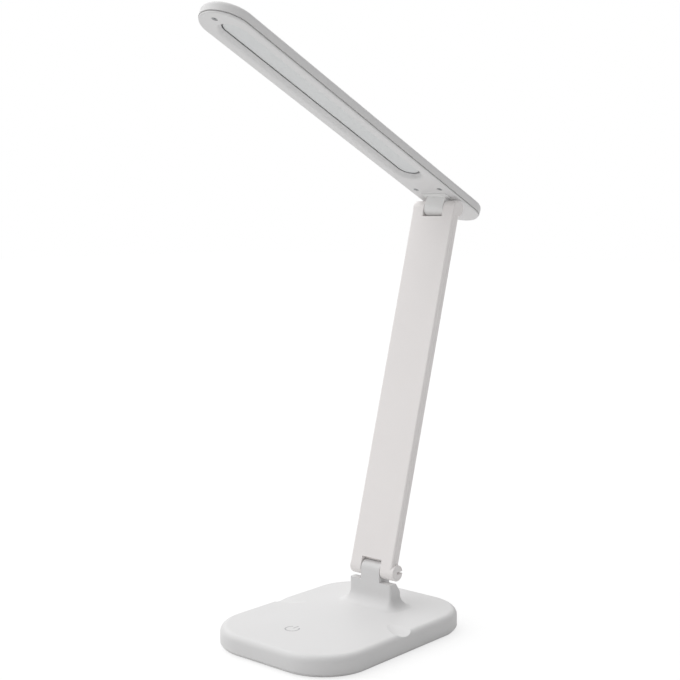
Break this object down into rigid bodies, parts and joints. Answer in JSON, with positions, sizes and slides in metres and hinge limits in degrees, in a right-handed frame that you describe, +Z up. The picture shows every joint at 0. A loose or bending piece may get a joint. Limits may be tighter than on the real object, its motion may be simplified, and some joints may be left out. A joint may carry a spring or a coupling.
{
  "type": "folding desk lamp",
  "caption": "Folding desk lamp with a flat rounded base, a slim arm that leans on a hinge post and a long thin light bar hinged at the arm's top.",
  "frame": {"origin": "middle of the base on the table, under the bottom plate", "axes": "+Z up, +X to the right seen from the user's side, -Y towards the user, where the light bar reaches"},
  "size_m": [0.113, 0.2588, 0.3987],
  "materials": {
    "base_shell": "satin moulded white",
    "base_plate": "fine matt moulded white",
    "base_weight": "zinc-plated steel",
    "base_screws": "zinc-plated",
    "rubber_feet": "matt",
    "battery_cell": "shrink film",
    "control_board": "solder mask",
    "touch_pad": "conductive foam",
    "touch_mark": "printed grey",
    "charge_board": "solder mask",
    "charge_socket": "stamped",
    "socket_tongue": "moulded",
    "lower_sleeve": "rolled",
    "lower_pin": "turned",
    "lower_nut": "zinc-plated",
    "lower_washers": "natural nylon",
    "lower_caps": "satin moulded white",
    "arm_front": "satin moulded white",
    "arm_rear": "satin moulded white",
    "arm_core": "rolled strip",
    "arm_lead": "PVC",
    "upper_sleeve": "rolled",
    "upper_pin": "turned",
    "upper_nut": "zinc-plated",
    "upper_washers": "natural nylon",
    "upper_caps": "satin moulded white",
    "bar_shell": "satin moulded white",
    "bar_cover": "satin moulded white",
    "bar_knuckle": "satin moulded white",
    "bar_screws": "zinc-plated",
    "diffuser": "opal, frosted",
    "reflector": "white film",
    "led_board": "white solder mask",
    "led_chips": "phosphor"
  },
  "bodies": {
    "base": {"base_shell": "base_shell", "base_plate": "base_plate", "base_weight": "base_weight", "base_screws": "base_screws", "rubber_feet": "rubber_feet", "battery_cell": "battery_cell", "control_board": "control_board", "touch_pad": "touch_pad", "touch_mark": "touch_mark", "charge_board": "charge_board", "charge_socket": "charge_socket", "socket_tongue": "socket_tongue", "lower_sleeve": "lower_sleeve"},
    "arm": {"arm_front": "arm_front", "arm_rear": "arm_rear", "arm_core": "arm_core", "arm_lead": "arm_lead", "lower_pin": "lower_pin", "lower_nut": "lower_nut", "lower_washers": "lower_washers", "lower_caps": "lower_caps", "upper_pin": "upper_pin", "upper_nut": "upper_nut", "upper_washers": "upper_washers", "upper_caps": "upper_caps"},
    "bar": {"bar_shell": "bar_shell", "bar_cover": "bar_cover", "bar_knuckle": "bar_knuckle", "upper_sleeve": "upper_sleeve", "bar_screws": "bar_screws", "diffuser": "diffuser", "reflector": "reflector", "led_board": "led_board", "led_chips": "led_chips"}
  },
  "joints": [
    {"name": "arm_hinge", "type": "hinge", "parent": "base", "child": "arm", "pos_m": [0, 0.0356, 0.0378], "axis": [1, 0, 0], "range_deg": [-29.3, 105.7]},
    {"name": "bar_hinge", "type": "hinge", "parent": "arm", "child": "bar", "pos_m": [0, 0.10433, 0.28232], "axis": [1, 0, 0], "range_deg": [-80.9, 99.1]}
  ]
}
